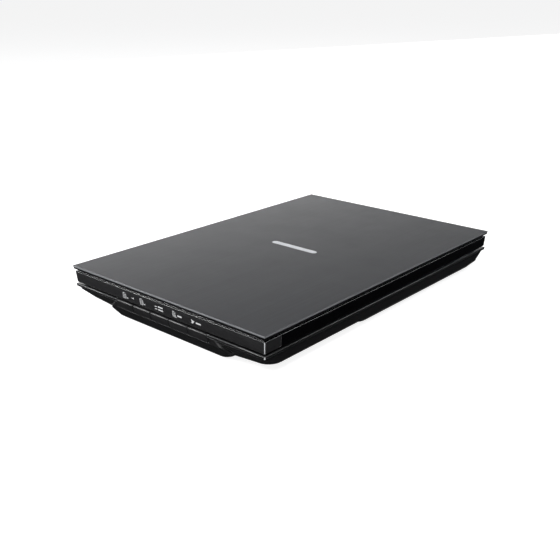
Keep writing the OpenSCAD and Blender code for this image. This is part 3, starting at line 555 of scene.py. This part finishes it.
def makeBoard(look):
    # glass-epoxy board: green lacquer over raised copper tracks, with small tinned pads
    material, tree, shader, place = startMaterial(look)
    tracks = addNode(tree, "ShaderNodeTexBrick", {
        "Scale": metre / look["trackMm"] / 4, "Mortar Size": 0.05, "Brick Width": 1.4, "Row Height": 0.5,
    }, {"Vector": place}).outputs["Fac"]
    pads = addNode(tree, "ShaderNodeTexVoronoi", {"Scale": metre / look["padMm"]}, {"Vector": place})
    colour = tintWhere(tree, look["colour"], look["trackColour"], tracks, 0, 1)
    colour = tintWhere(tree, colour, look["padColour"], pads.outputs["Distance"], 0.2, 0.16)
    relief = addNode(tree, "ShaderNodeBump", {"Strength": 0.4, "Distance": look["reliefMm"] / metre},
                     {"Height": tracks})
    tree.links.new(colour, shader.inputs["Base Color"])
    tree.links.new(relief.outputs["Normal"], shader.inputs["Normal"])
    return material


materials["board_green"] = makeBoard(boardLook)

ribbonLook = {
    "name": "flat_ribbon_insulation", "colour": "#e4e1d4", "wireColour": "#9c9a90",
    "pitchMm": 1.0, "wearMm": 6, "reliefMm": 0.04, "roughness": (0.35, 0.5), "shader": {"IOR": 1.5},
}
greyRibbonLook = dict(ribbonLook, name="grey_ribbon_insulation", colour="#8f9194", wireColour="#66686b")
stripeScale = 0.314  # wave texture scale that gives one stripe to a metre


def makeRibbon(look):
    # polyester film over flat wires, one stripe to each wire
    material, tree, shader, place = startMaterial(look)
    stripes = addNode(tree, "ShaderNodeTexWave", {
        "bands_direction": "X", "Scale": stripeScale * metre / look["pitchMm"],
    }, {"Vector": place}).outputs["Fac"]
    wearAndHighlight = addNode(tree, "ShaderNodeTexNoise", {"Scale": metre / look["wearMm"], "Detail": 3.0},
                   {"Vector": place})
    colour = tintWhere(tree, look["wireColour"], look["colour"], stripes, 0, 1)
    relief = addNode(tree, "ShaderNodeBump", {"Strength": 0.4, "Distance": look["reliefMm"] / metre},
                     {"Height": stripes})
    tree.links.new(colour, shader.inputs["Base Color"])
    tree.links.new(relief.outputs["Normal"], shader.inputs["Normal"])
    wanderGloss(tree, shader, wearAndHighlight.outputs["Fac"], look["roughness"])
    return material


materials["cable_white"] = makeRibbon(ribbonLook)
materials["cable_grey"] = makeRibbon(greyRibbonLook)

inkLook = {  # screen printed ink: flat and slightly chalky
    "name": "printed_white_ink", "colour": "#b2b3b4", "secondColour": "#a6a7a8", "cloudMm": 2,
    "grainMm": 0.4, "reliefMm": 0.005, "roughness": (0.5, 0.6), "shader": {"IOR": 1.45},
}
materials["ink"] = makeFinish(inkLook)

for part in frame["record"]["subparts"]:
    mesh = nodes[part["node"]].data
    mesh.materials.clear()
    mesh.materials.append(materials[part["material_slot"]])
nodes["upper_frame"].data.materials[0] = materials["frame_rim"]
# the plate under the sheet takes the painted shade black
nodes["lid_carrier_plate"].data.materials[0] = materials["carrier_plate"]
print("finishes ready:", len(materials))

# New pieces

hair = 0.00001  # m, closer than this counts as touching


def finishPiece(piece, name, body, material):
    # the piece's place goes into its mesh, then it rides with its body
    bpy.ops.object.select_all(action="DESELECT")
    piece.select_set(True)
    bpy.context.view_layer.objects.active = piece
    bpy.ops.object.transform_apply(location=True, rotation=True, scale=True)
    piece.name = name
    piece.data.name = name
    piece.data.materials.clear()
    piece.data.materials.append(material)
    if body:
        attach(piece, body)
    return piece


def mergedCopy(nodeName, name):
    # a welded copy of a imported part, to be worked on further
    mesh = nodes[nodeName].data.copy()
    piece = bpy.data.objects.new(name, mesh)
    scene.collection.objects.link(piece)
    bpy.ops.object.select_all(action="DESELECT")
    piece.select_set(True)
    bpy.context.view_layer.objects.active = piece
    bpy.ops.object.mode_set(mode="EDIT")
    bpy.ops.mesh.select_all(action="SELECT")
    bpy.ops.mesh.remove_doubles(threshold=hair)
    bpy.ops.mesh.dissolve_limited(angle_limit=math.radians(1))
    bpy.ops.object.mode_set(mode="OBJECT")
    return piece


def addBlock(low, high):
    # a box between two corners, selected and active
    bpy.ops.object.select_all(action="DESELECT")
    low, high = Vector(low), Vector(high)
    bpy.ops.mesh.primitive_cube_add(size=1, location=(low + high) / 2, scale=high - low)
    bpy.ops.object.transform_apply(location=True, rotation=True, scale=True)
    return bpy.context.object


def bevelEdges(piece, width, segments, chosen):
    # rounds the edges for which chosen(edge middle, edge direction) is true
    bpy.ops.object.select_all(action="DESELECT")
    piece.select_set(True)
    bpy.context.view_layer.objects.active = piece
    bpy.ops.object.mode_set(mode="EDIT")
    bpy.ops.mesh.select_all(action="DESELECT")
    bpy.ops.mesh.select_mode(type="EDGE")
    bpy.ops.object.mode_set(mode="OBJECT")
    points = piece.data.vertices
    for edge in piece.data.edges:
        a, b = points[edge.vertices[0]].co, points[edge.vertices[1]].co
        edge.select = bool(chosen((a + b) / 2, (b - a).normalized()))
    bpy.ops.object.mode_set(mode="EDIT")
    bpy.ops.mesh.bevel(offset=width, segments=segments, affect="EDGES")
    bpy.ops.object.mode_set(mode="OBJECT")


softRims = {  # each part's piece, body, slot and the heights of its sharp rims in mm
    "label_strip": ("strip_cover", "lid", "label_black", (24.9, 36.0)),
    "lid_shell": ("lid_tray", "lid", "gloss_black", (24.6, 38.5)),
    "upper_frame": ("rim_frame", "base", "case_black", (21.0, 23.6)),
}
rimShape = {"radiusMm": 0.15, "segments": 2, "heightSlackMm": 0.05, "bandMm": 3.5}


def makeSoftRims(nodeName, name, body, slotName, heights):
    # a moulded part with its sharp outer rims rounded over
    piece = mergedCopy(nodeName, name)
    low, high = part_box(nodeName)
    slack, band = rimShape["heightSlackMm"] / metre, rimShape["bandMm"] / metre

    def onRim(middle, way):
        inward = min(middle.x - low.x, high.x - middle.x, middle.y - low.y, high.y - middle.y)
        level = min(abs(middle.z - height / metre) for height in heights)
        return inward < band and level < slack and abs(way.z) < 0.05

    bevelEdges(piece, rimShape["radiusMm"] / metre, rimShape["segments"], onRim)
    finishPiece(piece, name, body, nodes[nodeName].data.materials[0])
    bpy.ops.object.shade_smooth_by_angle(angle=math.radians(40))
    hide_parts(nodeName)


for nodeName, setup in softRims.items():
    makeSoftRims(nodeName, *setup)
print("moulded rims ready")

badge = {
    "rimMm": 0.5,
    "dishMm": 0.06,
    "edgeMm": 0.12,
    "endFlatMm": 0.1,  # what is left straight at each end, so that the rounding stays clean
    "roundSegments": 10,
}


def makeBadge(setup):
    # blank bright name plate: a pill with a rim round a shallow dish
    low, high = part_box("lid_badge")
    piece = addBlock(low, high)
    endRadius = (high.y - low.y) / 2 - setup["endFlatMm"] / metre
    bevelEdges(piece, endRadius, setup["roundSegments"], lambda middle, way: abs(way.z) > 0.9)
    bevelEdges(piece, setup["edgeMm"] / metre, 2, lambda middle, way: middle.z > high.z - hair)
    bpy.ops.object.mode_set(mode="EDIT")
    bpy.ops.mesh.select_all(action="DESELECT")
    bpy.ops.mesh.select_mode(type="FACE")
    bpy.ops.object.mode_set(mode="OBJECT")
    top = max(piece.data.polygons, key=lambda face: face.normal.z * face.area)
    top.select = True
    bpy.ops.object.mode_set(mode="EDIT")
    bpy.ops.mesh.inset(thickness=setup["rimMm"] / metre, depth=0)
    bpy.ops.mesh.inset(thickness=setup["dishMm"] / metre, depth=-setup["dishMm"] / metre)
    bpy.ops.object.mode_set(mode="OBJECT")
    finishPiece(piece, "name_badge", "lid", materials["name_plate"])
    bpy.ops.object.shade_smooth_by_angle(angle=math.radians(35))
    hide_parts("lid_badge")


makeBadge(badge)

copyPage = (("page", 0, 0, 4.3, 5.8), ("bar", 4.085, -1.74, 2.15, 0.7))
marks = {
    "lineMm": 0.5,  # width of a printed line
    "inkMm": 0.08,  # thickness of the ink
    "proud": 0.1,  # part of the ink that stands out, past half of it
    "centreZ": 30.2,  # mm above the floor
    "leanDegrees": 4.2,  # the strip leans back towards the floor
    # mm from the middle of the strip, then each shape's kind, x and z
    # a bar and a page have a width and a height, a triangle has a radius and a turn in degrees
    "groups": (
        (-49.0, copyPage),
        (-25.0, copyPage),
        (-37.0, (("bar", -1.1, 0, 2.2, 0.5), ("triangle", 0.6, 0, 1.1, 90))),
        (-1.6, (("bar", -3.8, 0.9, 2.6, 0.8), ("bar", 2.2, 1.3, 6.2, 1.2),
                ("bar", -3.8, -1.5, 2.6, 0.8), ("bar", 2.2, -1.5, 6.2, 1.2))),
        (22.5, (("page", -4.2, 0.5, 3.655, 4.93), ("bar", -2.4, -2.2, 2.8, 0.5),
                ("bar", 2.8, -0.3, 5.4, 1.3))),
        (46.0, (("triangle", -4.2, 0, 2.3, 78), ("bar", -5.6, -1.5, 1.2, 0.5),
                ("bar", 2.6, -0.3, 6.0, 1.3))),
    ),
}


def printBar(x, z, width, height):
    low = Vector((x - width / 2, -marks["inkMm"] / 2, z - height / 2))
    high = Vector((x + width / 2, marks["inkMm"] / 2, z + height / 2))
    return [addBlock(low / metre, high / metre)]


def printPage(x, z, width, height):
    # outline of a sheet with a cut corner and three lines of writing
    line = marks["lineMm"]
    left, bottom = x - width / 2, z - height / 2
    parts = printBar(left + line / 2, z, line, height)
    parts += printBar(x, bottom + line / 2, width, line)
    parts += printBar(left + width - line / 2, z - line, line, height - 2 * line)
    parts += printBar(x - line, bottom + height - line / 2, width - 2 * line, line)
    for row in (-1, 0, 1):
        parts += printBar(x, z + row * height * 0.2 - line * 0.3, width * 0.5, line * 0.7)
    return parts


def printTriangle(x, z, radius, turn):
    bpy.ops.object.select_all(action="DESELECT")
    bpy.ops.mesh.primitive_cylinder_add(
        vertices=3, radius=radius / metre, depth=marks["inkMm"] / metre,
        location=(x / metre, 0, z / metre), rotation=(math.radians(90), math.radians(turn), 0))
    return [bpy.context.object]


printShape = {"bar": printBar, "page": printPage, "triangle": printTriangle}


def makeMarks(setup):
    # generic marks over the buttons: pages, an arrow and bars
    parts = []
    for middle, shapes in setup["groups"]:
        for kind, x, z, *sizes in shapes:
            parts += printShape[kind](middle + x, setup["centreZ"] + z, *sizes)
    bpy.ops.object.select_all(action="DESELECT")
    for part in parts:
        part.select_set(True)
    bpy.context.view_layer.objects.active = parts[0]
    bpy.ops.object.join()
    piece = bpy.context.object
    bpy.ops.object.transform_apply(location=True, rotation=True, scale=True)
    low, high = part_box("label_strip")
    slope = math.tan(math.radians(setup["leanDegrees"]))
    proud = setup["inkMm"] / metre * setup["proud"]
    for point in piece.data.vertices:  # set on the leaning face of the strip
        point.co.y += low.y + (high.z - point.co.z) * slope - proud
    finishPiece(piece, "strip_marks", "lid", materials["ink"])


makeMarks(marks)

buttonCap = {"sideMm": 0.6, "segments": 3}


def makeButtons(setup):
    # one cap with round side edges, then four copies a pitch apart
    first = mergedCopy("button_cap_1", "button_1_cap")
    low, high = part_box("button_cap_1")

    def onSide(middle, way):
        return min(middle.x - low.x, high.x - middle.x) < hair and middle.y < high.y - hair

    bevelEdges(first, setup["sideMm"] / metre, setup["segments"], onSide)
    caps = [first]
    for k in range(2, 6):
        piece = first.copy()
        piece.data = first.data.copy()
        scene.collection.objects.link(piece)
        piece.location.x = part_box(f"button_cap_{k}")[0].x - low.x
        caps.append(piece)
    for k, piece in enumerate(caps, 1):
        finishPiece(piece, f"button_{k}_cap", f"button_{k}", materials["button_black"])
        bpy.ops.object.shade_smooth_by_angle(angle=math.radians(40))
        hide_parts(f"button_cap_{k}")


makeButtons(buttonCap)
print("badge, marks and buttons ready")

foamPad = {"cornerMm": 3.0, "edgeMm": 0.9, "fill": 0.9}


def makeFoam(setup):
    # pressed foam pad with rounded corners and rims
    low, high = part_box("document_foam")
    piece = addBlock(low, high)
    bevelEdges(piece, setup["cornerMm"] / metre, 5, lambda middle, way: abs(way.z) > 0.9)
    bevelEdges(piece, setup["edgeMm"] / metre, 4, lambda middle, way: abs(way.z) < 0.1)
    finishPiece(piece, "foam_pad", None, materials["foam_grey"])
    bpy.ops.object.shade_smooth_by_angle(angle=math.radians(50))
    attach(piece, "lid")
    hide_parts("document_foam")


makeFoam(foamPad)

ribbon = {"steps": 48, "boardEndMm": 12, "carriageEndMm": 10}


def makeRibbonLead(setup):
    # the flat lead from the board under the carriage, cut across into even steps along its length
    piece = mergedCopy("flex_cable", "ribbon_lead")
    low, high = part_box("flex_cable")
    for step in range(1, setup["steps"]):
        place = low.y + (high.y - low.y) * step / setup["steps"]
        bpy.ops.object.mode_set(mode="EDIT")
        bpy.ops.mesh.select_all(action="SELECT")
        bpy.ops.mesh.bisect(plane_co=(0, place, 0), plane_no=(0, 1, 0))
        bpy.ops.object.mode_set(mode="OBJECT")
    finishPiece(piece, "ribbon_lead", None, materials["cable_white"])
    bpy.ops.object.shade_smooth_by_angle(angle=math.radians(30))
    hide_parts("flex_cable")
    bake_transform(piece)


makeRibbonLead(ribbon)
print("pad and ribbon ready")
